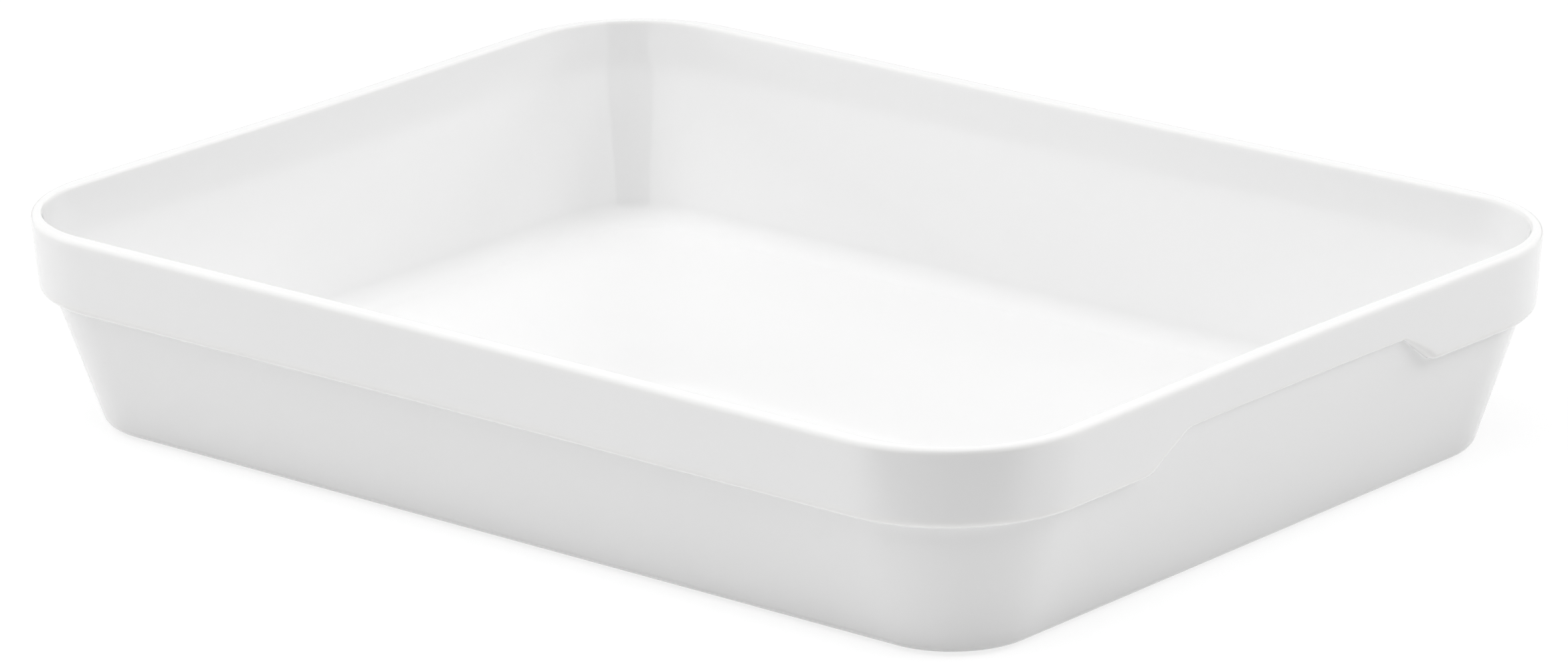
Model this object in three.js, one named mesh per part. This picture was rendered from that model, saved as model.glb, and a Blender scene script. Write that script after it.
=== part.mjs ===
// Rectangular porcelain baking dish: a drafted wall under a plain collar, with a finger recess in the
// collar at each short end. The fired porcelain and the glaze fused on it are separate solids that meet
// face to face. The foot ring is left bare, so the glaze under the base is a patch of its own.
// Millimetres and degrees, +Z up. X runs along the dish, and the origin is under its middle, on the table.
import * as THREE from 'three';
import { mergeVertices } from 'three/addons/utils/BufferGeometryUtils.js';

// Overall sizes, over the collar
const length = 340;
const width = 256.5;
const height = 59;
const cornerRadius = 40.5;

// Collar and rim. A round takes at most its share of the ledge or the rim it sits on
const collarHeight = 21;
const collarDraft = 4.6;
const collarEdgeRadius = 1.5;
const collarEdgeShare = 0.55;
const rimThickness = 4.6;
const rimOuterRadius = 1.6;
const rimInnerRadius = 2;
const rimRoundShare = 0.45;

// Wall and floor. The wall's outer face is set by its inset from the collar's widest line
const wallInset = 5.1;
const wallDraft = 18.6;
const wallThickness = 4.3;
const underCollarRadius = 0.8;
const underCollarShare = 0.3;
const kneeDrop = 12.8;
const kneeRadius = 26;
const floorHeight = 5.4;
const coveRadius = 8;

// The sides draw in a little towards the rim, as they do in the kiln
const longSideDrawIn = 0.8;
const shortEndDrawIn = 1.1;

// Finger recess at each short end
const recessRise = 9.2;
const recessTopWidth = 88;
const recessShoulderRun = 14;
const recessCornerRadius = 5;

// Base and foot ring
const baseEdgeRadius = 4;
const baseLift = 0.6;
const footSetback = 5.3;
const footWidth = 6;
const footChamfer = 0.4;
const undersideRecess = 1.15;

// Glaze, with a hair of clearance to the porcelain that carries it
const glazeThickness = 0.35;
const glazeClearance = 0.02;

// How finely round stretches are divided
const cornerSteps = 8;
const longSideSteps = 4;
const recessCornerSteps = 2;
const rimSteps = 3;
const edgeSteps = 2;
const kneeSteps = 2;
const coveSteps = 4;
const baseEdgeSteps = 3;

const slope = (degrees) => Math.tan(THREE.MathUtils.degToRad(degrees));
const point = (x, y) => new THREE.Vector2(x, y);
const collarFoot = height - collarHeight;
const rimRound = (radius) => Math.min(radius, rimThickness * rimRoundShare);
const rimOuterRound = rimRound(rimOuterRadius);
const rimInnerRound = rimRound(rimInnerRadius);

// Faces of the section, as the inset from the collar's widest line at a given height
const collarFace = (z) => (height - rimOuterRound - z) * slope(collarDraft);
const wallFace = (z) => wallInset + (collarFoot - z) * slope(wallDraft);
const wallRun = wallThickness / Math.cos(THREE.MathUtils.degToRad(wallDraft));
const lowerInnerFace = (z) => wallFace(z) + wallRun;

// The inner face stands steeper from the rim down to the knee, and follows the wall from there to the floor
const kneeHeight = height - kneeDrop;
const floorEdge = lowerInnerFace(floorHeight);

// The foot ring stands back from the base's edge
const footInset = wallFace(baseLift) + footSetback;
const footInner = footInset + footWidth;

// A line through corners, each rounded by an arc of its own radius in so many steps
function roundedLine(corners) {
  const points = [corners[0].at];
  for (let i = 1; i < corners.length - 1; i += 1) {
    const { at, radius, steps } = corners[i];
    const back = corners[i - 1].at.clone().sub(at).normalize();
    const ahead = corners[i + 1].at.clone().sub(at).normalize();
    const half = back.angleTo(ahead) / 2;
    const reach = radius / Math.tan(half);
    const start = at.clone().addScaledVector(back, reach);
    const end = at.clone().addScaledVector(ahead, reach);
    const inward = back.clone().add(ahead).normalize();
    const centre = at.clone().addScaledVector(inward, radius / Math.sin(half));
    const clockwise = back.cross(ahead) > 0;
    const from = start.sub(centre).angle();
    const to = end.sub(centre).angle();
    const arc = new THREE.EllipseCurve(centre.x, centre.y, radius, radius, from, to, clockwise);
    points.push(...arc.getPoints(steps));
  }
  points.push(corners.at(-1).at);
  return points;
}

// The glazed section as inset and height: from its start beside the foot, up the wall and collar, over the
// rim and down to the floor. In a finger recess the collar's lower edge is raised by rise, and the wall
// carries on up behind it
function glazedSection(rise, start) {
  const edge = collarFoot + rise;
  const edgeInset = collarFace(edge);
  const wallTop = Math.max(wallFace(edge), edgeInset + underCollarRadius);
  const step = wallTop - edgeInset;
  const lipRadius = Math.min(collarEdgeRadius, step * collarEdgeShare);
  const innerLipRadius = Math.min(underCollarRadius, step * underCollarShare);
  return roundedLine([
    { at: point(start, baseLift) },
    { at: point(wallFace(baseLift), baseLift), radius: baseEdgeRadius, steps: baseEdgeSteps },
    { at: point(wallTop, edge), radius: innerLipRadius, steps: edgeSteps },
    { at: point(edgeInset, edge), radius: lipRadius, steps: edgeSteps },
    { at: point(collarFace(height), height), radius: rimOuterRound, steps: rimSteps },
    { at: point(rimThickness, height), radius: rimInnerRound, steps: rimSteps },
    { at: point(lowerInnerFace(kneeHeight), kneeHeight), radius: kneeRadius, steps: kneeSteps },
    { at: point(floorEdge, floorHeight), radius: coveRadius, steps: coveSteps },
    { at: point(floorEdge + coveRadius, floorHeight) },
  ]);
}

// The same section so much deeper in the material: each point moves square to the line on both its sides
function deeper(section, depth) {
  return section.map((here, i) => {
    const before = section[Math.max(i - 1, 0)];
    const after = section[Math.min(i + 1, section.length - 1)];
    const runs = [here.clone().sub(before), after.clone().sub(here)].filter((run) => run.length() > 0);
    const normals = runs.map((run) => point(run.y, -run.x).normalize());
    const normal = normals.reduce((sum, each) => sum.clone().add(each)).normalize();
    return here.clone().addScaledVector(normal, depth / normal.dot(normals[0]));
  });
}

// The recess seen from the end, as distance from the middle and rise, from one corner to the other
function recessOutline(reach) {
  const soft = { radius: recessCornerRadius, steps: recessCornerSteps };
  const top = recessTopWidth / 2;
  const foot = top + recessShoulderRun;
  const half = roundedLine([
    { at: point(-reach, 0) },
    { at: point(-foot, 0), ...soft },
    { at: point(-top, recessRise), ...soft },
    { at: point(0, recessRise) },
  ]);
  const mirrored = half.slice(0, -1).reverse().map(({ x, y }) => point(-x, y));
  return [...half, ...mirrored];
}

// The same for a plain side, where the collar's lower edge keeps its height
function plainOutline(reach) {
  const ends = new THREE.LineCurve(point(-reach, 0), point(reach, 0));
  return ends.getPoints(longSideSteps);
}

// Stations round the dish, anticlockwise from above: a point on the collar's widest line, the way out from
// it, how far the collar's lower edge is raised there, and how far the side is drawn in at the rim
function stationsRound() {
  const stations = [];
  for (let quarter = 0; quarter < 4; quarter += 1) {
    const shortEnd = quarter % 2 === 0;
    const [across, along] = shortEnd ? [length / 2, width / 2] : [width / 2, length / 2];
    const reach = along - cornerRadius;
    const angle = quarter * Math.PI / 2;
    const out = point(Math.cos(angle), Math.sin(angle));
    const on = point(-out.y, out.x);
    const places = shortEnd ? recessOutline(reach) : plainOutline(reach);
    const drawIn = shortEnd ? shortEndDrawIn : longSideDrawIn;
    for (const place of places.slice(1, -1)) {
      const at = out.clone().multiplyScalar(across).addScaledVector(on, place.x);
      const swell = (1 - (place.x / reach) ** 2) ** 2;
      stations.push({ at, out, rise: place.y, drawIn: drawIn * swell });
    }
    const centre = out.clone().multiplyScalar(across - cornerRadius).addScaledVector(on, reach);
    for (let i = 0; i <= cornerSteps; i += 1) {
      const turned = angle + (i / cornerSteps) * Math.PI / 2;
      const away = point(Math.cos(turned), Math.sin(turned));
      const at = centre.clone().addScaledVector(away, cornerRadius);
      stations.push({ at, out: away, rise: 0, drawIn: 0 });
    }
  }
  return stations;
}

const stations = stationsRound();

// One ring of the dish: a section point at each station
function ring(sectionPoints) {
  return sectionPoints.map(({ x: inset, y: z }, i) => {
    const { at, out, drawIn } = stations[i];
    const place = at.clone().addScaledVector(out, -inset - drawIn * z / height);
    return new THREE.Vector3(place.x, place.y, z);
  });
}

const rings = (sections) => sections[0].map((_, k) => ring(sections.map((section) => section[k])));
const levelRing = (inset, z) => ring(stations.map(() => point(inset, z)));

// Triangles between neighbouring rings, facing away from the material when the rings run from under the
// base, up the outside and down the inside
function skin(solidRings) {
  const triangles = [];
  for (let k = 1; k < solidRings.length; k += 1) {
    const near = solidRings[k - 1];
    const far = solidRings[k];
    near.forEach((here, i) => {
      const next = (i + 1) % near.length;
      triangles.push(here, near[next], far[next], here, far[next], far[i]);
    });
  }
  return triangles;
}

// The flat middle of a ring, facing up
function middle(edge) {
  const centre = new THREE.Vector3(0, 0, edge[0].z);
  return edge.flatMap((here, i) => [centre, here, edge[(i + 1) % edge.length]]);
}

const turned = (triangles) => triangles.toReversed();

// A closed solid from surfaces that meet along the same points
function closedSolid(...surfaces) {
  const geometry = mergeVertices(new THREE.BufferGeometry().setFromPoints(surfaces.flat()));
  geometry.computeVertexNormals();
  return geometry;
}

const bareRecess = undersideRecess + glazeThickness;

// Fired porcelain: the recess under the base, the bare foot ring, then everything under the glaze
function porcelainGeometry() {
  const sections = stations.map(({ rise }) => glazedSection(rise, footInset));
  const bareRings = rings(sections.map((section) => deeper(section, glazeThickness)));
  const recess = levelRing(footInner, bareRecess);
  const footRings = [
    recess,
    levelRing(footInner, footChamfer),
    levelRing(footInner - footChamfer, 0),
    levelRing(footInset + footChamfer, 0),
    levelRing(footInset, footChamfer),
  ];
  return closedSolid(turned(middle(recess)), skin([...footRings, ...bareRings]), middle(bareRings.at(-1)));
}

// Glaze over the outside, the rim and the inside, ending beside the foot ring
function coatGeometry() {
  const sections = stations.map(({ rise }) => glazedSection(rise, footInset - glazeClearance));
  const face = rings(sections);
  const back = rings(sections.map((section) => deeper(section, glazeThickness - glazeClearance)));
  const faceSkin = [...skin(face), ...middle(face.at(-1))];
  const backSkin = [...skin(back), ...middle(back.at(-1))];
  return closedSolid(faceSkin, turned(backSkin), skin([back[0], face[0]]));
}

// Glaze in the recess under the base
function baseGlazeGeometry() {
  const face = levelRing(footInner + glazeClearance, undersideRecess);
  const back = levelRing(footInner + glazeClearance, bareRecess - glazeClearance);
  return closedSolid(turned(middle(face)), skin([face, back]), middle(back));
}

const bisque = new THREE.MeshStandardMaterial({ color: 0xe9e5dc, roughness: 0.85, metalness: 0 });
const whiteGlaze = new THREE.MeshStandardMaterial({ color: 0xf3f3f1, roughness: 0.08, metalness: 0 });
const underGlazeWhite = new THREE.MeshStandardMaterial({ color: 0xf1f0ed, roughness: 0.15, metalness: 0 });

function part(name, geometry, material) {
  const mesh = new THREE.Mesh(geometry, material);
  mesh.name = name;
  return mesh;
}

const bakingDish = new THREE.Group();
bakingDish.add(part('porcelain_body', porcelainGeometry(), bisque));
bakingDish.add(part('glaze_coat', coatGeometry(), whiteGlaze));
bakingDish.add(part('base_glaze', baseGlazeGeometry(), underGlazeWhite));

export default bakingDish;
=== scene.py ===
"""Porcelain baking dish: fired body, glaze over it, glaze under its base, and a plain studio round them.

The dish is drawn as one section, inset against height, and carried round a rounded rectangle by inset
steps. At each short end the collar's lower edge is then raised to make a finger recess.
Metres, +Z up. X runs along the dish, and the origin is under its middle, on the table.
"""
import math
from collections import namedtuple

import bmesh
import bpy
import numpy
from bpy.props import FloatProperty, FloatVectorProperty, IntProperty, PointerProperty
from mathutils import Matrix, Vector


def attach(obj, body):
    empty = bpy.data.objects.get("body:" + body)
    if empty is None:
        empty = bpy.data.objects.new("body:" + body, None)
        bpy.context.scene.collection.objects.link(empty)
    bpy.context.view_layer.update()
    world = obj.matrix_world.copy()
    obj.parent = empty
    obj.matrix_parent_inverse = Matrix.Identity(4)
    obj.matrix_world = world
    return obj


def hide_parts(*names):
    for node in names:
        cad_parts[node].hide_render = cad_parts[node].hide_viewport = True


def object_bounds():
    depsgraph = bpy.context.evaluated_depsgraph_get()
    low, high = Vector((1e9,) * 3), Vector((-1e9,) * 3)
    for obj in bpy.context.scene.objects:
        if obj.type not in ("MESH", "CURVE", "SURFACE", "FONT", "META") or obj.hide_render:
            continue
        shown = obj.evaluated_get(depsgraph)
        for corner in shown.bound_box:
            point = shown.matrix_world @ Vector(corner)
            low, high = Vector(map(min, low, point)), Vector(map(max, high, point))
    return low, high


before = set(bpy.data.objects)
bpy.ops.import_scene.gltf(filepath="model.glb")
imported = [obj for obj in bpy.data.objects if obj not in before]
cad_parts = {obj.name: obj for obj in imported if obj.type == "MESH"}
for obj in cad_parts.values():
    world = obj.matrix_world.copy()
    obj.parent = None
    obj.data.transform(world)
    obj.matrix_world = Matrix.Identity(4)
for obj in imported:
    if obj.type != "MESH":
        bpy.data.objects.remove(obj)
CAD_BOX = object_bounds()
CAD_SIZE = CAD_BOX[1] - CAD_BOX[0]

bl_info = {
    "name": "Porcelain Baking Dish",
    "version": (1, 0, 0),
    "blender": (4, 5, 0),
    "location": "View3D > Sidebar > Dish",
    "description": "Builds a glazed porcelain baking dish and a plain studio round it",
    "category": "Add Mesh",
}

MM = 0.001

# A round on the ledge under the collar takes at most its share of the ledge
COLLAR_EDGE_SHARE = 0.85
UNDER_COLLAR_SHARE = 0.2

# Two points close to the ends of every straight run keep its shading straight
RUN_HOLD = 0.06

# One corner of a section: where it lies, the round put on it, that round's steps, and how thin the glaze
# lies there. A point of a section keeps the last
Corner = namedtuple("Corner", "inset height radius steps thinness")
SectionPoint = namedtuple("SectionPoint", "at thinness")

# How thin the glaze lies on each round: above zero it runs off an edge, below zero it gathers in a hollow
BASE_EDGE_THINNESS = 0.3
UNDER_COLLAR_THINNESS = -1
COLLAR_EDGE_THINNESS = 1
RIM_THINNESS = 0.7
COVE_THINNESS = -0.8

# A glaze's roughness, and the depth of its swell in metres
GlazeFinish = namedtuple("GlazeFinish", "roughness swell_depth")
OVER_GLAZE = GlazeFinish(0.03, 0.00006)
UNDER_GLAZE = GlazeFinish(0.14, 0.0003)
GLAZE_IOR = 1.52

# How far a glaze's white and its roughness wander where it clouds
CLOUD_WHITE = (0.99, 1.005)
CLOUD_ROUGHNESS = (0.8, 1.2)

# The bare foot: where a rub starts and where it is full, how much of it shows, how rough the porcelain is
# bare and rubbed, and the strength of its grain and its depth in metres
RUB_SPAN = (0.52, 0.75)
RUB_SHOWN = 0.55
BARE_ROUGHNESS = 0.9
RUBBED_ROUGHNESS = 0.65
GRAIN_STRENGTH = 0.6
GRAIN_DEPTH = 0.0001

# The floor as the eye sees it: a white of its own, and a grey that takes the light and the dish's shadow
FLOOR_WHITE = 0.82
FLOOR_GREY = (0.22, 0.22, 0.22)

# The sensor that the camera's focal length belongs to, in millimetres
SENSOR_WIDTH = 36

# A soft lamp: degrees round the dish and over the horizon, its width and height in metres, and watts
Softbox = namedtuple("Softbox", "name azimuth elevation wide high power")
SOFTBOXES = (
    Softbox("overhead_softbox", 0, 88, 1.4, 1.4, 10),
    Softbox("front_top_softbox", 30, 60, 1.9, 0.9, 14),
    Softbox("left_top_softbox", 300, 60, 1.0, 0.9, 7),
    Softbox("left_softbox", 330, 36, 0.95, 0.6, 4),
    Softbox("right_softbox", 120, 36, 0.95, 0.6, 8.5),
    Softbox("back_right_softbox", 155, 36, 0.95, 0.6, 3),
    Softbox("back_left_softbox", 270, 36, 0.95, 0.6, 1.5),
    Softbox("back_right_low_softbox", 155, 20, 0.9, 0.4, 5.5),
    Softbox("back_left_low_softbox", 285, 8, 0.5, 0.4, 5),
    Softbox("front_left_low_softbox", 330, 14, 0.9, 0.6, 2),
)

# A dark card that only the glaze's mirror image shows: its turn round the dish from the camera in degrees,
# how far out and how high its middle stands in metres, its lean from flat in degrees, and its width and
# depth in metres
Flag = namedtuple("Flag", "name turn reach height lean wide deep")
FLAGS = (
    Flag("ground_flag", 0, 0.51, 0.001, 0, 0.7, 0.6),
    Flag("upright_flag", 0, 0.9, 0.6, 90, 1.1, 1.4),
    Flag("horizon_flag", 180, 2.0, 0.05, 90, 4.0, 0.3),
)

# How much of a flag's half width its edge takes to fade in
FLAG_FEATHER = 0.15


def length_prop(name, description, millimetres):
    """A length a user can change, with its default in millimetres."""
    return FloatProperty(
        name=name, description=description, default=millimetres * MM, unit="LENGTH", precision=5)


def angle_prop(name, description, degrees):
    """An angle a user can change, with its default in degrees."""
    return FloatProperty(
        name=name, description=description, default=math.radians(degrees), subtype="ANGLE")


def colour_prop(name, description, colour):
    """A colour a user can change."""
    return FloatVectorProperty(
        name=name, description=description, default=colour, subtype="COLOR", min=0, max=1)


class DishSizes(bpy.types.PropertyGroup):
    """Sizes of the dish."""
    length: FloatProperty(name="Length", description="Over the collar", default=CAD_SIZE.x, unit="LENGTH")
    width: FloatProperty(name="Width", description="Over the collar", default=CAD_SIZE.y, unit="LENGTH")
    height: FloatProperty(name="Height", description="Table to rim", default=CAD_SIZE.z, unit="LENGTH")
    corner_radius: length_prop("Corner radius", "In plan, at the collar's widest line", 40.5)
    collar_height: length_prop("Collar height", "From the collar's lower edge to the rim", 21)
    collar_draft: angle_prop("Collar draft", "Lean of the collar's face", 4.6)
    collar_edge_radius: length_prop("Collar edge radius", "Round on the collar's lower edge", 2.4)
    rim_thickness: length_prop("Rim thickness", "From the widest line to the inner face", 4.6)
    inner_corner_radius: length_prop("Inner corner radius", "In plan, at the rim's inner edge", 32)
    rim_outer_radius: length_prop("Rim outer radius", "Round on the rim's outer edge", 1.4)
    rim_inner_radius: length_prop("Rim inner radius", "Round on the rim's inner edge", 1.1)
    wall_inset: length_prop("Wall inset", "Of the wall behind the collar's widest line", 5.1)
    wall_draft: angle_prop("Wall draft", "Lean of the wall under the collar", 18.6)
    wall_thickness: length_prop("Wall thickness", "Square to the wall", 4.3)
    under_collar_radius: length_prop("Under-collar radius", "Where the wall meets the ledge", 0.8)
    knee_drop: length_prop("Knee drop", "From the rim to the bend in the inner face", 12.8)
    knee_radius: length_prop("Knee radius", "Round on that bend", 26)
    floor_height: length_prop("Floor height", "Table to the inside floor", 5.4)
    cove_radius: length_prop("Cove radius", "Where the inner face meets the floor", 8)
    long_side_draw_in: length_prop("Long side draw-in", "At the rim, half way along", 0.8)
    short_end_draw_in: length_prop("Short end draw-in", "At the rim, half way along", 1.1)
    recess_rise: length_prop("Recess rise", "How far the collar's edge climbs", 9.2)
    recess_top_width: length_prop("Recess top width", "Along the raised edge", 88)
    recess_shoulder_run: length_prop("Recess shoulder run", "Of each slanted shoulder", 14)
    recess_corner_radius: length_prop("Recess corner radius", "At the ends of the shoulders", 5)
    base_edge_radius: length_prop("Base edge radius", "Where the wall turns under", 4)
    base_lift: length_prop("Base lift", "Of the glazed base over the table", 0.6)
    foot_setback: length_prop("Foot setback", "Of the foot ring behind the base's edge", 5.3)
    foot_width: length_prop("Foot width", "Of the bare foot ring", 6)
    foot_chamfer: length_prop("Foot chamfer", "On both edges of the foot ring", 0.4)
    underside_recess: length_prop("Underside recess", "Of the base inside the foot ring", 1.15)
    glaze_thickness: length_prop("Glaze thickness", "Of the fused skin", 0.35)
    glaze_clearance: length_prop("Glaze clearance", "Between glaze and porcelain", 0.02)


class DishFinish(bpy.types.PropertyGroup):
    """Colours of the dish."""
    glaze_colour: colour_prop("Glaze", "White of the glazed porcelain", (0.86, 0.86, 0.86))
    gathered_colour: colour_prop("Gathered glaze", "Where it lies thick in a hollow", (0.845, 0.846, 0.846))
    thin_colour: colour_prop("Thin glaze", "Where it runs off an edge", (0.865, 0.863, 0.856))
    bisque_colour: colour_prop("Bisque", "Bare fired porcelain", (0.74, 0.69, 0.6))
    scuff_colour: colour_prop("Scuffs", "Where the foot has rubbed", (0.5, 0.48, 0.44))


class DishMesh(bpy.types.PropertyGroup):
    """How finely the dish is divided."""
    corner_steps: IntProperty(name="Corner steps", description="Round a corner in plan", default=26, min=4)
    side_steps: IntProperty(name="Side steps", description="Along each long side", default=24, min=2)
    end_steps: IntProperty(name="End steps", description="Along each short end", default=140, min=20)
    round_steps: IntProperty(name="Round steps", description="Across a section's rounds", default=8, min=2)


class DishStage(bpy.types.PropertyGroup):
    """Floor, lamps and camera."""
    floor_colour: colour_prop("Floor", "The studio floor", (0.9, 0.9, 0.9))
    floor_size: length_prop("Floor size", "Of each side of the studio floor", 8000)
    floor_gap: length_prop("Floor gap", "Between the foot ring and the floor", 0.1)
    lamp_distance: length_prop("Lamp distance", "From the dish to every softbox", 1800)
    camera_azimuth: angle_prop("Camera azimuth", "Round the dish from its front", 40.84)
    camera_elevation: angle_prop("Camera elevation", "Over the horizon", 17.88)
    camera_roll: angle_prop("Camera roll", "Round the line of sight", -0.98)
    camera_distance: length_prop("Camera distance", "To the point it aims at", 2267.7)
    camera_aim: FloatVectorProperty(
        name="Camera aim", description="The middle of the frame", default=(0.00058, -0.00027, 0.02695),
        subtype="TRANSLATION")
    camera_lens: FloatProperty(
        name="Camera lens", description="Focal length on a 36 mm sensor, in millimetres", default=200.16)


def rounded_line(corners):
    """Points along a line with rounded corners, and two more close to the ends of every straight run."""
    arcs = [[SectionPoint(Vector((corners[0].inset, corners[0].height)), corners[0].thinness)]]
    for before, here, after in zip(corners, corners[1:], corners[2:]):
        at = Vector((here.inset, here.height))
        back = (Vector((before.inset, before.height)) - at).normalized()
        ahead = (Vector((after.inset, after.height)) - at).normalized()
        half = back.angle(ahead) / 2
        start = at + back * here.radius / math.tan(half)
        centre = at + (back + ahead).normalized() * here.radius / math.sin(half)
        turn = math.copysign(math.pi - 2 * half, ahead.cross(back))
        arc = []
        for step in range(here.steps + 1):
            spoke = Matrix.Rotation(turn * step / here.steps, 2) @ (start - centre)
            arc.append(SectionPoint(centre + spoke, here.thinness))
        arcs.append(arc)
    arcs.append([SectionPoint(Vector((corners[-1].inset, corners[-1].height)), corners[-1].thinness)])
    line = list(arcs[0])
    for before, after in zip(arcs, arcs[1:]):
        for share in (RUN_HOLD, 1 - RUN_HOLD):
            line.append(SectionPoint(before[-1].at.lerp(after[0].at, share), 0))
        line.extend(after)
    return line


def wall_face(sizes, height):
    """Inset of the wall's outer face at a height."""
    return sizes.wall_inset + (sizes.height - sizes.collar_height - height) * math.tan(sizes.wall_draft)


def foot_inset(sizes):
    """Inset of the foot ring's outer side."""
    return wall_face(sizes, sizes.base_lift) + sizes.foot_setback


def glazed_section(sizes, steps, rise):
    """The glazed face from beside the foot, up the outside, over the rim and down to the floor."""
    edge = sizes.height - sizes.collar_height + rise
    slope = math.tan(sizes.collar_draft)
    edge_inset = (sizes.height - sizes.rim_outer_radius - edge) * slope
    wall_top = max(wall_face(sizes, edge), edge_inset + sizes.under_collar_radius)
    ledge = wall_top - edge_inset
    inner_run = sizes.wall_thickness / math.cos(sizes.wall_draft)
    knee_height = sizes.height - sizes.knee_drop
    knee_inset = wall_face(sizes, knee_height) + inner_run
    floor_edge = wall_face(sizes, sizes.floor_height) + inner_run
    edge_radius = min(sizes.collar_edge_radius, ledge * COLLAR_EDGE_SHARE)
    under_radius = min(sizes.under_collar_radius, ledge * UNDER_COLLAR_SHARE)
    base_inset = wall_face(sizes, sizes.base_lift)
    return rounded_line([
        Corner(foot_inset(sizes) - sizes.glaze_clearance, sizes.base_lift, 0, 0, 0),
        Corner(base_inset, sizes.base_lift, sizes.base_edge_radius, steps, BASE_EDGE_THINNESS),
        Corner(wall_top, edge, under_radius, steps, UNDER_COLLAR_THINNESS),
        Corner(edge_inset, edge, edge_radius, steps, COLLAR_EDGE_THINNESS),
        Corner(-sizes.rim_outer_radius * slope, sizes.height, sizes.rim_outer_radius, steps, RIM_THINNESS),
        Corner(sizes.rim_thickness, sizes.height, sizes.rim_inner_radius, steps, RIM_THINNESS),
        Corner(knee_inset, knee_height, sizes.knee_radius, steps, 0),
        Corner(floor_edge, sizes.floor_height, sizes.cove_radius, 2 * steps, COVE_THINNESS),
        Corner(floor_edge + sizes.cove_radius, sizes.floor_height, 0, 0, 0),
    ])


def foot_section(sizes):
    """The bare foot ring from the underside recess, under the foot and up beside the glaze."""
    outer = foot_inset(sizes)
    inner = outer + sizes.foot_width
    chamfer = sizes.foot_chamfer
    ceiling = sizes.underside_recess + sizes.glaze_thickness
    inside = [(inner, ceiling), (inner, chamfer), (inner - chamfer, 0)]
    outside = [(outer + chamfer, 0), (outer, chamfer)]
    return [SectionPoint(Vector(place), 0) for place in inside + outside]


def outline_face(bm, sizes, mesh, inset, height):
    """A rounded rectangle at an inset from the widest line, divided for the sides and the recesses."""
    bmesh.ops.create_grid(bm, x_segments=1, y_segments=1, size=0.5)
    bmesh.ops.scale(bm, vec=(sizes.length - 2 * inset, sizes.width - 2 * inset, 1), verts=bm.verts)
    bmesh.ops.translate(bm, vec=(0, 0, height), verts=bm.verts)
    bmesh.ops.bevel(
        bm, geom=bm.verts[:], offset=sizes.corner_radius - inset, offset_type="OFFSET", affect="VERTICES",
        segments=mesh.corner_steps, profile=0.5, material=-1)
    along = [edge for edge in bm.edges if edge.calc_length() > sizes.width / 2]
    sides = [edge for edge in along if abs(edge.verts[0].co.y - edge.verts[1].co.y) < MM]
    ends = [edge for edge in along if edge not in sides]
    bmesh.ops.bisect_edges(bm, edges=sides, cuts=mesh.side_steps - 1)
    bmesh.ops.bisect_edges(bm, edges=ends, cuts=mesh.end_steps - 1)
    return next(iter(bm.faces))


def raise_skin(bm, face, section):
    """Carries a face along a section by inset steps.

    Each ring of vertices keeps its number, and how thin the glaze lies there.
    """
    ring = bm.verts.layers.int.new("ring")
    thinness = bm.verts.layers.float.new("glaze_thinness")
    for vert in face.verts:
        vert[thinness] = section[0].thinness
    for number, (before, here) in enumerate(zip(section, section[1:]), start=1):
        step = here.at - before.at
        bmesh.ops.inset_region(
            bm, faces=[face], thickness=step.x, depth=step.y, use_even_offset=True, use_boundary=True)
        for vert in face.verts:
            vert[ring] = number
            vert[thinness] = here.thinness
    return ring


def corner_reach(radius, tighter, ray):
    """How far out along a ray a corner lies once its radius is tighter and its sides are as they were."""
    if radius * min(ray) / max(ray) < tighter:
        return radius / max(ray)
    spread = tighter * sum(ray)
    return spread + math.sqrt(spread ** 2 - 2 * tighter ** 2 + (radius - tighter) ** 2)


def tighten_inner_corners(bm, sizes, section, ring):
    """Makes the inside's corners tighter in plan, most at the rim, which thins there, least at the floor."""
    top = max(range(len(section)), key=lambda number: section[number].at.y)
    outer = section[top].at.x
    middle = Vector((sizes.length / 2 - sizes.corner_radius, sizes.width / 2 - sizes.corner_radius))
    tighter = sizes.corner_radius - sizes.rim_thickness - sizes.inner_corner_radius
    for vert in bm.verts:
        out = Vector((abs(vert.co.x), abs(vert.co.y))) - middle
        if vert[ring] <= top or min(out) <= 0:
            continue
        across = (sizes.corner_radius - out.length - outer) / (sizes.rim_thickness - outer)
        up = (vert.co.z - sizes.floor_height) / (sizes.height - sizes.floor_height)
        ray = out.normalized()
        moved = ray * corner_reach(out.length, tighter * min(across, 1) * up, ray) + middle
        vert.co.x = math.copysign(moved.x, vert.co.x)
        vert.co.y = math.copysign(moved.y, vert.co.y)


def recess_rise(sizes, steps, across):
    """How far the collar's lower edge is raised at a distance across the short end."""
    top = sizes.recess_top_width / 2
    foot = top + sizes.recess_shoulder_run
    radius = sizes.recess_corner_radius
    line = rounded_line([
        Corner(0, sizes.recess_rise, 0, 0, 0),
        Corner(top, sizes.recess_rise, radius, steps, 0),
        Corner(foot, 0, radius, steps, 0),
        Corner(sizes.width / 2, 0, 0, 0, 0),
    ])
    return float(numpy.interp(abs(across), [point.at.x for point in line], [point.at.y for point in line]))


def cut_recesses(bm, sizes, steps, ring, first):
    """Raises the collar's lower edge at both short ends, with the wall carried on up behind it."""
    plain = glazed_section(sizes, steps, 0)
    raised_sections = {}
    end = sizes.length / 2 - sizes.corner_radius
    for vert in bm.verts:
        if abs(vert.co.x) < end or vert[ring] < first:
            continue
        rise = recess_rise(sizes, steps, vert.co.y)
        if rise <= 0:
            continue
        if rise not in raised_sections:
            raised_sections[rise] = glazed_section(sizes, steps, rise)
        number = vert[ring] - first
        move = raised_sections[rise][number].at - plain[number].at
        vert.co.x -= math.copysign(1, vert.co.x) * move.x
        vert.co.z += move.y


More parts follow.
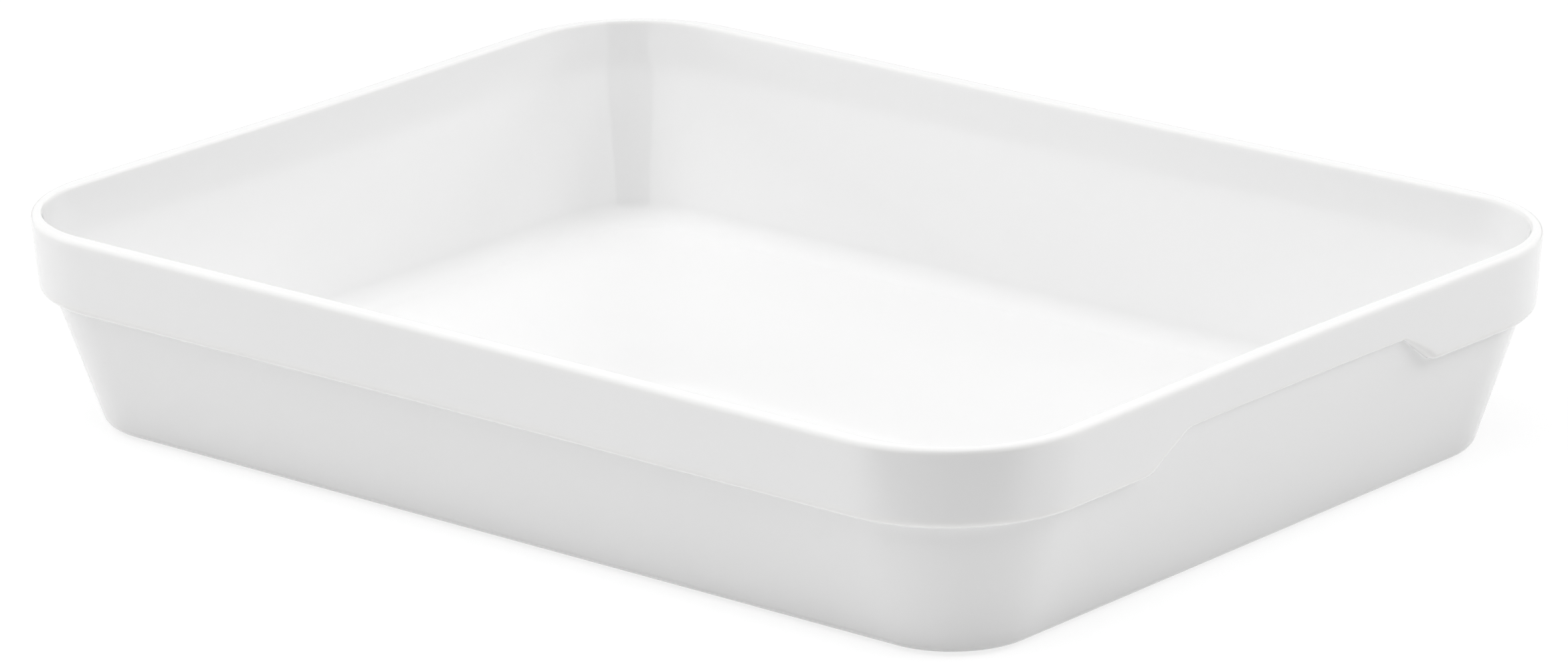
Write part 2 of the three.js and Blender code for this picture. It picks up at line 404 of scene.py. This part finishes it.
def draw_in_sides(bm, sizes):
    """Draws the sides in towards the rim, most half way along, as they go in the kiln."""
    end = sizes.length / 2 - sizes.corner_radius
    side = sizes.width / 2 - sizes.corner_radius
    for vert in bm.verts:
        share = vert.co.z / sizes.height
        if abs(vert.co.x) <= end and abs(vert.co.y) > side:
            draw = sizes.long_side_draw_in * (1 - (vert.co.x / end) ** 2) ** 2 * share
            vert.co.y -= math.copysign(draw, vert.co.y)
        elif abs(vert.co.y) <= side and abs(vert.co.x) > end:
            draw = sizes.short_end_draw_in * (1 - (vert.co.y / side) ** 2) ** 2 * share
            vert.co.x -= math.copysign(draw, vert.co.x)


def dish_skin(sizes, mesh, below):
    """One skin of the dish, from what lies below the glaze up over the rim to the floor."""
    steps = mesh.round_steps
    section = below + glazed_section(sizes, steps, 0)
    start = section[0].at
    bm = bmesh.new()
    face = outline_face(bm, sizes, mesh, start.x, start.y)
    ring = raise_skin(bm, face, section)
    tighten_inner_corners(bm, sizes, section, ring)
    cut_recesses(bm, sizes, steps, ring, len(below))
    draw_in_sides(bm, sizes)
    bm.normal_update()
    return bm


def finish_piece(bm, name, material, node):
    """Makes the mesh an object of the dish that stands for its CAD node."""
    bmesh.ops.recalc_face_normals(bm, faces=bm.faces[:])
    for face in bm.faces:
        face.smooth = True
    mesh = bpy.data.meshes.new(name)
    bm.to_mesh(mesh)
    bm.free()
    mesh.materials.append(material)
    piece = bpy.data.objects.new(name, mesh)
    bpy.context.scene.collection.objects.link(piece)
    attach(piece, "root")
    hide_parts(node)


def add_node(tree, kind, **values):
    """A shader node with its settings and its unlinked inputs set."""
    node = tree.nodes.new(kind)
    for key, value in values.items():
        if key in node.inputs:
            node.inputs[key].default_value = value
        else:
            setattr(node, key, value)
    return node


def add_range(tree, value, span=(0, 1), result=(0, 1)):
    """Carries a value from one span to another."""
    node = add_node(tree, "ShaderNodeMapRange")
    for key, end in zip(("From Min", "From Max", "To Min", "To Max"), (*span, *result)):
        node.inputs[key].default_value = end
    tree.links.new(value, node.inputs["Value"])
    return node.outputs["Result"]


def add_mix(tree, factor, first, second, blend="MIX"):
    """Mixes two colours. Each of the three inputs is a plain value or comes from another node."""
    node = add_node(tree, "ShaderNodeMix", data_type="RGBA", blend_type=blend)
    for key, given in (("Factor", factor), ("A", first), ("B", second)):
        if isinstance(given, bpy.types.NodeSocket):
            tree.links.new(given, node.inputs[key])
        else:
            node.inputs[key].default_value = given
    return node.outputs["Result"]


def glaze_surface_group():
    """Unevenness of a fired glaze: a slow swell, a fine orange peel and a faint cloudiness."""
    name = "glaze_surface"
    if name in bpy.data.node_groups:
        return bpy.data.node_groups[name]
    group = bpy.data.node_groups.new(name, "ShaderNodeTree")
    for label, default in (("Swell Scale", 30.0), ("Peel Scale", 420.0), ("Peel Share", 0.06)):
        socket = group.interface.new_socket(name=label, in_out="INPUT", socket_type="NodeSocketFloat")
        socket.default_value = default
    for label in ("Height", "Cloud"):
        group.interface.new_socket(name=label, in_out="OUTPUT", socket_type="NodeSocketFloat")
    inputs = add_node(group, "NodeGroupInput")
    outputs = add_node(group, "NodeGroupOutput")
    place = add_node(group, "ShaderNodeTexCoord")
    swell = add_node(group, "ShaderNodeTexNoise", Detail=1.0, Roughness=0.4)
    peel = add_node(group, "ShaderNodeTexNoise", Detail=2.0, Roughness=0.5)
    cloud = add_node(group, "ShaderNodeTexNoise", Scale=14.0, Detail=4.0, Roughness=0.55)
    fine = add_node(group, "ShaderNodeMath", operation="MULTIPLY")
    height = add_node(group, "ShaderNodeMath", operation="ADD")
    group.links.new(inputs.outputs["Swell Scale"], swell.inputs["Scale"])
    group.links.new(inputs.outputs["Peel Scale"], peel.inputs["Scale"])
    group.links.new(peel.outputs["Fac"], fine.inputs[0])
    group.links.new(inputs.outputs["Peel Share"], fine.inputs[1])
    group.links.new(swell.outputs["Fac"], height.inputs[0])
    group.links.new(fine.outputs[0], height.inputs[1])
    for texture in (swell, peel, cloud):
        group.links.new(place.outputs["Object"], texture.inputs["Vector"])
    group.links.new(height.outputs[0], outputs.inputs["Height"])
    group.links.new(cloud.outputs["Fac"], outputs.inputs["Cloud"])
    return group


def glaze_material(name, colours, finish):
    """White glossy glaze that cools where it gathers, warms where it thins and is never quite even."""
    material = bpy.data.materials.new(name)
    material.use_nodes = True
    tree = material.node_tree
    shader = tree.nodes["Principled BSDF"]
    shader.inputs["IOR"].default_value = GLAZE_IOR
    surface = add_node(tree, "ShaderNodeGroup", node_tree=glaze_surface_group())
    thinness = add_node(tree, "ShaderNodeAttribute", attribute_name="glaze_thinness").outputs["Fac"]
    gathers = add_range(tree, thinness, span=(0, -1))
    thins = add_range(tree, thinness)
    pooled = add_mix(tree, gathers, (*colours.glaze_colour, 1), (*colours.gathered_colour, 1))
    toned = add_mix(tree, thins, pooled, (*colours.thin_colour, 1))
    clouded = add_range(tree, surface.outputs["Cloud"], result=CLOUD_WHITE)
    colour = add_mix(tree, 1, toned, clouded, blend="MULTIPLY")
    roughness = [finish.roughness * share for share in CLOUD_ROUGHNESS]
    rough = add_range(tree, surface.outputs["Cloud"], result=roughness)
    bump = add_node(tree, "ShaderNodeBump", Strength=1.0, Distance=finish.swell_depth)
    link = tree.links.new
    link(colour, shader.inputs["Base Color"])
    link(rough, shader.inputs["Roughness"])
    link(surface.outputs["Height"], bump.inputs["Height"])
    link(bump.outputs["Normal"], shader.inputs["Normal"])
    return material


def bisque_material(name, colours):
    """Bare fired porcelain: matte, with a fine grain and grey rubs where the foot has slid."""
    material = bpy.data.materials.new(name)
    material.use_nodes = True
    tree = material.node_tree
    shader = tree.nodes["Principled BSDF"]
    place = add_node(tree, "ShaderNodeTexCoord")
    grain = add_node(tree, "ShaderNodeTexNoise", Scale=1800.0, Detail=3.0, Roughness=0.6)
    rubs = add_node(tree, "ShaderNodeTexNoise", Scale=60.0, Detail=5.0, Roughness=0.65)
    rubbed = add_range(tree, rubs.outputs["Fac"], span=RUB_SPAN, result=(0, RUB_SHOWN))
    colour = add_mix(tree, rubbed, (*colours.bisque_colour, 1), (*colours.scuff_colour, 1))
    rough = add_range(tree, rubbed, result=(BARE_ROUGHNESS, RUBBED_ROUGHNESS))
    bump = add_node(tree, "ShaderNodeBump", Strength=GRAIN_STRENGTH, Distance=GRAIN_DEPTH)
    link = tree.links.new
    link(place.outputs["Object"], grain.inputs["Vector"])
    link(place.outputs["Object"], rubs.inputs["Vector"])
    link(colour, shader.inputs["Base Color"])
    link(rough, shader.inputs["Roughness"])
    link(grain.outputs["Fac"], bump.inputs["Height"])
    link(bump.outputs["Normal"], shader.inputs["Normal"])
    return material


def looked_at(tree):
    """1 for what the camera, a reflection or a refraction looks at, and 0 for what only gives light."""
    path = add_node(tree, "ShaderNodeLightPath")
    mirrored = add_node(tree, "ShaderNodeMath", operation="MAXIMUM")
    seen = add_node(tree, "ShaderNodeMath", operation="MAXIMUM")
    tree.links.new(path.outputs["Is Glossy Ray"], mirrored.inputs[0])
    tree.links.new(path.outputs["Is Transmission Ray"], mirrored.inputs[1])
    tree.links.new(path.outputs["Is Camera Ray"], seen.inputs[0])
    tree.links.new(mirrored.outputs[0], seen.inputs[1])
    return seen.outputs[0]


def bare_material(name):
    """A material with only its output node."""
    material = bpy.data.materials.new(name)
    material.use_nodes = True
    tree = material.node_tree
    tree.nodes.remove(tree.nodes["Principled BSDF"])
    return material, tree, tree.nodes["Material Output"]


def floor_material(name, stage):
    """Pale floor: plain to the light, and white to the eye apart from the dish's shadow."""
    material, tree, output = bare_material(name)
    plain = add_node(tree, "ShaderNodeBsdfDiffuse", Color=(*stage.floor_colour, 1))
    shaded = add_node(tree, "ShaderNodeBsdfDiffuse", Color=(*FLOOR_GREY, 1))
    white = add_node(tree, "ShaderNodeEmission", Strength=FLOOR_WHITE)
    seen = add_node(tree, "ShaderNodeAddShader")
    surface = add_node(tree, "ShaderNodeMixShader")
    link = tree.links.new
    link(shaded.outputs[0], seen.inputs[0])
    link(white.outputs[0], seen.inputs[1])
    link(looked_at(tree), surface.inputs["Fac"])
    link(plain.outputs[0], surface.inputs[1])
    link(seen.outputs[0], surface.inputs[2])
    link(surface.outputs[0], output.inputs["Surface"])
    return material


def flag_material(flag):
    """Dull black that fades out towards the flag's edge."""
    material, tree, output = bare_material(flag.name)
    place = add_node(tree, "ShaderNodeTexCoord")
    fitted = add_node(tree, "ShaderNodeMapping", Scale=(2 / flag.wide, 2 / flag.deep, 1))
    inward = add_node(tree, "ShaderNodeTexGradient", gradient_type="SPHERICAL")
    feathered = add_range(tree, inward.outputs["Fac"], span=(0, FLAG_FEATHER))
    clear = add_node(tree, "ShaderNodeBsdfTransparent")
    dark = add_node(tree, "ShaderNodeBsdfDiffuse", Color=(0, 0, 0, 1))
    surface = add_node(tree, "ShaderNodeMixShader")
    link = tree.links.new
    link(place.outputs["Object"], fitted.inputs["Vector"])
    link(fitted.outputs["Vector"], inward.inputs["Vector"])
    link(feathered, surface.inputs["Fac"])
    link(clear.outputs[0], surface.inputs[1])
    link(dark.outputs[0], surface.inputs[2])
    link(surface.outputs[0], output.inputs["Surface"])
    return material


def direction(azimuth, elevation):
    """The way out to a place round the dish, by the same angles as the camera's."""
    flat = math.cos(elevation)
    return Vector((math.sin(azimuth) * flat, -math.cos(azimuth) * flat, math.sin(elevation)))


def add_softbox(softbox, distance):
    """A soft lamp that faces the dish and isn't mirrored in its glaze."""
    lamp = bpy.data.lights.new(softbox.name, "AREA")
    lamp.shape = "RECTANGLE"
    lamp.size = softbox.wide
    lamp.size_y = softbox.high
    lamp.energy = softbox.power
    away = direction(math.radians(softbox.azimuth), math.radians(softbox.elevation))
    holder = bpy.data.objects.new(softbox.name, lamp)
    holder.location = away * distance
    holder.rotation_euler = away.to_track_quat("Z", "Y").to_euler()
    holder.visible_glossy = False
    bpy.context.scene.collection.objects.link(holder)


def add_stage_grid(name, wide, deep, material):
    """A flat sheet of the stage, not part of the dish."""
    bm = bmesh.new()
    bmesh.ops.create_grid(bm, x_segments=1, y_segments=1, size=0.5)
    bmesh.ops.scale(bm, vec=(wide, deep, 1), verts=bm.verts)
    mesh = bpy.data.meshes.new(name)
    bm.to_mesh(mesh)
    bm.free()
    mesh.materials.append(material)
    sheet = bpy.data.objects.new(name, mesh)
    bpy.context.scene.collection.objects.link(sheet)
    return sheet


def add_flag(flag, camera_azimuth):
    """A dark flag that shows only in reflections."""
    azimuth = camera_azimuth + math.radians(flag.turn)
    card = add_stage_grid(flag.name, flag.wide, flag.deep, flag_material(flag))
    card.location = direction(azimuth, 0) * flag.reach + Vector((0, 0, flag.height))
    card.rotation_euler = (math.radians(flag.lean), 0, azimuth)
    card.visible_camera = False
    card.visible_diffuse = False
    card.visible_shadow = False


class DISH_OT_porcelain_body(bpy.types.Operator):
    """Make the fired porcelain with its bare foot ring"""
    bl_idname = "dish.porcelain_body"
    bl_label = "Porcelain body"

    def execute(self, context):
        scene = context.scene
        foot = foot_section(scene.dish_sizes)
        bm = dish_skin(scene.dish_sizes, scene.dish_mesh, foot)
        ring = bm.verts.layers.int["ring"]
        under_glaze = [(vert, vert.normal.copy()) for vert in bm.verts if vert[ring] >= len(foot)]
        for vert, normal in under_glaze:
            vert.co -= normal * scene.dish_sizes.glaze_thickness
        bmesh.ops.holes_fill(bm, edges=[edge for edge in bm.edges if edge.is_boundary], sides=0)
        material = bisque_material("bare_porcelain", scene.dish_finish)
        finish_piece(bm, "fired_porcelain", material, "porcelain_body")
        return {"FINISHED"}


class DISH_OT_glaze_coat(bpy.types.Operator):
    """Make the glaze over the outside, the rim and the inside"""
    bl_idname = "dish.glaze_coat"
    bl_label = "Glaze coat"

    def execute(self, context):
        scene, sizes = context.scene, context.scene.dish_sizes
        bm = dish_skin(sizes, scene.dish_mesh, [])
        bmesh.ops.solidify(bm, geom=bm.faces[:], thickness=sizes.glaze_thickness - sizes.glaze_clearance)
        material = glaze_material("white_glaze", scene.dish_finish, OVER_GLAZE)
        finish_piece(bm, "glaze_over", material, "glaze_coat")
        return {"FINISHED"}


class DISH_OT_base_glaze(bpy.types.Operator):
    """Make the patch of glaze under the base, inside the foot ring"""
    bl_idname = "dish.base_glaze"
    bl_label = "Base glaze"

    def execute(self, context):
        sizes = context.scene.dish_sizes
        edge = foot_inset(sizes) + sizes.foot_width + sizes.glaze_clearance
        bm = bmesh.new()
        face = outline_face(bm, sizes, context.scene.dish_mesh, edge, sizes.underside_recess)
        depth = sizes.glaze_thickness - sizes.glaze_clearance
        grown = bmesh.ops.extrude_face_region(bm, geom=[face], use_keep_orig=True)
        lifted = [each for each in grown["geom"] if isinstance(each, bmesh.types.BMVert)]
        bmesh.ops.translate(bm, vec=(0, 0, depth), verts=lifted)
        material = glaze_material("under_glaze", context.scene.dish_finish, UNDER_GLAZE)
        finish_piece(bm, "glaze_under", material, "base_glaze")
        return {"FINISHED"}


class DISH_OT_stage(bpy.types.Operator):
    """Make the floor, the lamps and the camera"""
    bl_idname = "dish.stage"
    bl_label = "Stage"

    def execute(self, context):
        scene, stage = context.scene, context.scene.dish_stage
        floor = add_stage_grid(
            "studio_floor", stage.floor_size, stage.floor_size, floor_material("studio_floor", stage))
        floor.location.z = -stage.floor_gap
        for softbox in SOFTBOXES:
            add_softbox(softbox, stage.lamp_distance)
        for flag in FLAGS:
            add_flag(flag, stage.camera_azimuth)
        world = bpy.data.worlds.new("studio_air")
        world.use_nodes = True
        tree = world.node_tree
        background = tree.nodes["Background"]
        background.inputs["Color"].default_value = (1, 1, 1, 1)
        tree.links.new(looked_at(tree), background.inputs["Strength"])
        scene.world = world
        camera = bpy.data.cameras.new("camera")
        camera.sensor_fit = "HORIZONTAL"
        camera.sensor_width = SENSOR_WIDTH
        camera.lens = stage.camera_lens
        viewer = bpy.data.objects.new("camera", camera)
        back = direction(stage.camera_azimuth, stage.camera_elevation)
        turned = back.to_track_quat("Z", "Y").to_matrix() @ Matrix.Rotation(stage.camera_roll, 3, "Z")
        viewer.matrix_world = Matrix.LocRotScale(
            Vector(stage.camera_aim) + back * stage.camera_distance, turned, None)
        scene.collection.objects.link(viewer)
        scene.camera = viewer
        scene.view_settings.view_transform = "Standard"
        return {"FINISHED"}


class DISH_PT_panel(bpy.types.Panel):
    """Lists the sizes, the finishes and the pieces of the dish"""
    bl_label = "Baking dish"
    bl_space_type = "VIEW_3D"
    bl_region_type = "UI"
    bl_category = "Dish"

    def draw(self, context):
        for operator in OPERATORS:
            self.layout.operator(operator.bl_idname)
        for holder, group in GROUPS.items():
            for name in group.__annotations__:
                self.layout.prop(getattr(context.scene, holder), name)


GROUPS = {"dish_sizes": DishSizes, "dish_finish": DishFinish, "dish_mesh": DishMesh, "dish_stage": DishStage}
OPERATORS = (DISH_OT_porcelain_body, DISH_OT_glaze_coat, DISH_OT_base_glaze, DISH_OT_stage)
CLASSES = (*GROUPS.values(), *OPERATORS, DISH_PT_panel)


def register():
    for each in CLASSES:
        bpy.utils.register_class(each)
    for holder, group in GROUPS.items():
        setattr(bpy.types.Scene, holder, PointerProperty(type=group))


def unregister():
    for holder in GROUPS:
        delattr(bpy.types.Scene, holder)
    for each in reversed(CLASSES):
        bpy.utils.unregister_class(each)


def main():
    register()
    bpy.ops.dish.porcelain_body()
    bpy.ops.dish.glaze_coat()
    bpy.ops.dish.base_glaze()
    bpy.ops.dish.stage()


if __name__ == "__main__":
    main()
